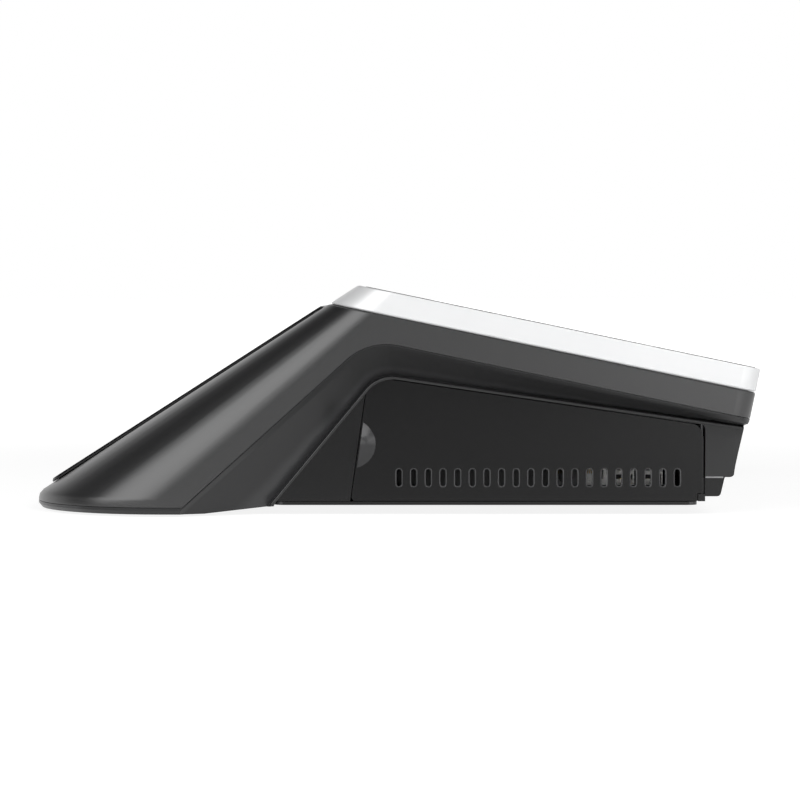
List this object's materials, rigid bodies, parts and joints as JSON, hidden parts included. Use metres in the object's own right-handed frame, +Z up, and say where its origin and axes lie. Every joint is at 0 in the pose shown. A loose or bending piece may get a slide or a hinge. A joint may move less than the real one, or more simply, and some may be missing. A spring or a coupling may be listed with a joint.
{
  "type": "pos touchscreen terminal",
  "caption": "Low wedge-shaped countertop sales terminal: tilted touchscreen deck, rear slope with a flush customer display, narrow base with hinged vented side covers over the connectors.",
  "frame": {"origin": "centre of the bounding box at its bottom, on the counter", "axes": "+X towards the operator, +Y across the screen, away from the near side cover, +Z up"},
  "size_m": [0.4448, 0.39, 0.1394],
  "materials": {
    "housing": "dark grey ABS with a fine satin texture",
    "base": "near-black ABS with a fine spark-eroded texture",
    "silver": "silver metallic paint on moulded plastic",
    "black_glass": "polished glass, printed black on the back",
    "lcd": "switched-off liquid crystal panel",
    "steel": "zinc-plated sheet steel",
    "dark_steel": "black-coated steel",
    "port_steel": "nickel-plated connector shell",
    "port_plastic": "grey moulded connector body",
    "chip": "black moulded epoxy",
    "board": "green solder mask on glass-fibre laminate",
    "alloy": "black anodised extrusion",
    "rubber": "black rubber",
    "lens": "clear light pipe"
  },
  "bodies": {
    "terminal": {"base_plate": "base", "base_screw_1": "steel", "base_screw_2": "steel", "base_screw_3": "steel", "base_screw_4": "steel", "base_screw_5": "steel", "base_screw_6": "steel", "button_board": "board", "button_switch": "chip", "customer_bracket": "steel", "customer_glass": "black_glass", "customer_lcd_panel": "lcd", "display_frame": "silver", "display_tray": "steel", "far_hinge_rod": "dark_steel", "far_io_plate": "dark_steel", "far_port_board": "board", "far_serial_port_front": "port_plastic", "far_serial_port_rear": "port_plastic", "far_video_port": "port_steel", "front_foot_far": "rubber", "front_foot_near": "rubber", "heat_sink": "alloy", "lower_housing": "base", "main_lcd_panel": "lcd", "mainboard": "board", "memory_module": "board", "near_drawer_port": "port_plastic", "near_hinge_rod": "dark_steel", "near_io_plate": "dark_steel", "near_lan_port": "port_steel", "near_port_board": "board", "near_power_inlet": "chip", "near_usb_stack_front": "port_steel", "near_usb_stack_rear": "port_steel", "power_board": "board", "processor": "chip", "rear_foot_far": "rubber", "rear_foot_near": "rubber", "solid_state_drive": "chip", "speaker_far": "chip", "speaker_near": "chip", "standoff_1": "steel", "standoff_2": "steel", "standoff_3": "steel", "standoff_4": "steel", "status_lens": "lens", "toe_pad_far": "rubber", "toe_pad_near": "rubber", "touch_controller_board": "board", "touch_glass": "black_glass", "tray_screw_1": "steel", "tray_screw_2": "steel", "tray_screw_3": "steel", "tray_screw_4": "steel", "upper_housing": "housing"},
    "near_cover": {"near_cover": "base"},
    "far_cover": {"far_cover": "base"},
    "power_button": {"power_button": "silver"}
  },
  "joints": [
    {"name": "near_cover_hinge", "type": "hinge", "parent": "terminal", "child": "near_cover", "pos_m": [0.18813, -0.1734, 0.0318], "axis": [0, 0, 1], "range_deg": [0, 90]},
    {"name": "far_cover_hinge", "type": "hinge", "parent": "terminal", "child": "far_cover", "pos_m": [0.18813, 0.1734, 0.0318], "axis": [0, 0, -1], "range_deg": [0, 90]},
    {"name": "power_button_press", "type": "slide", "parent": "terminal", "child": "power_button", "axis": [-0.9748, 0, 0.2233], "range_m": [0, 0.0015], "stiffness_N_per_m": 400}
  ]
}
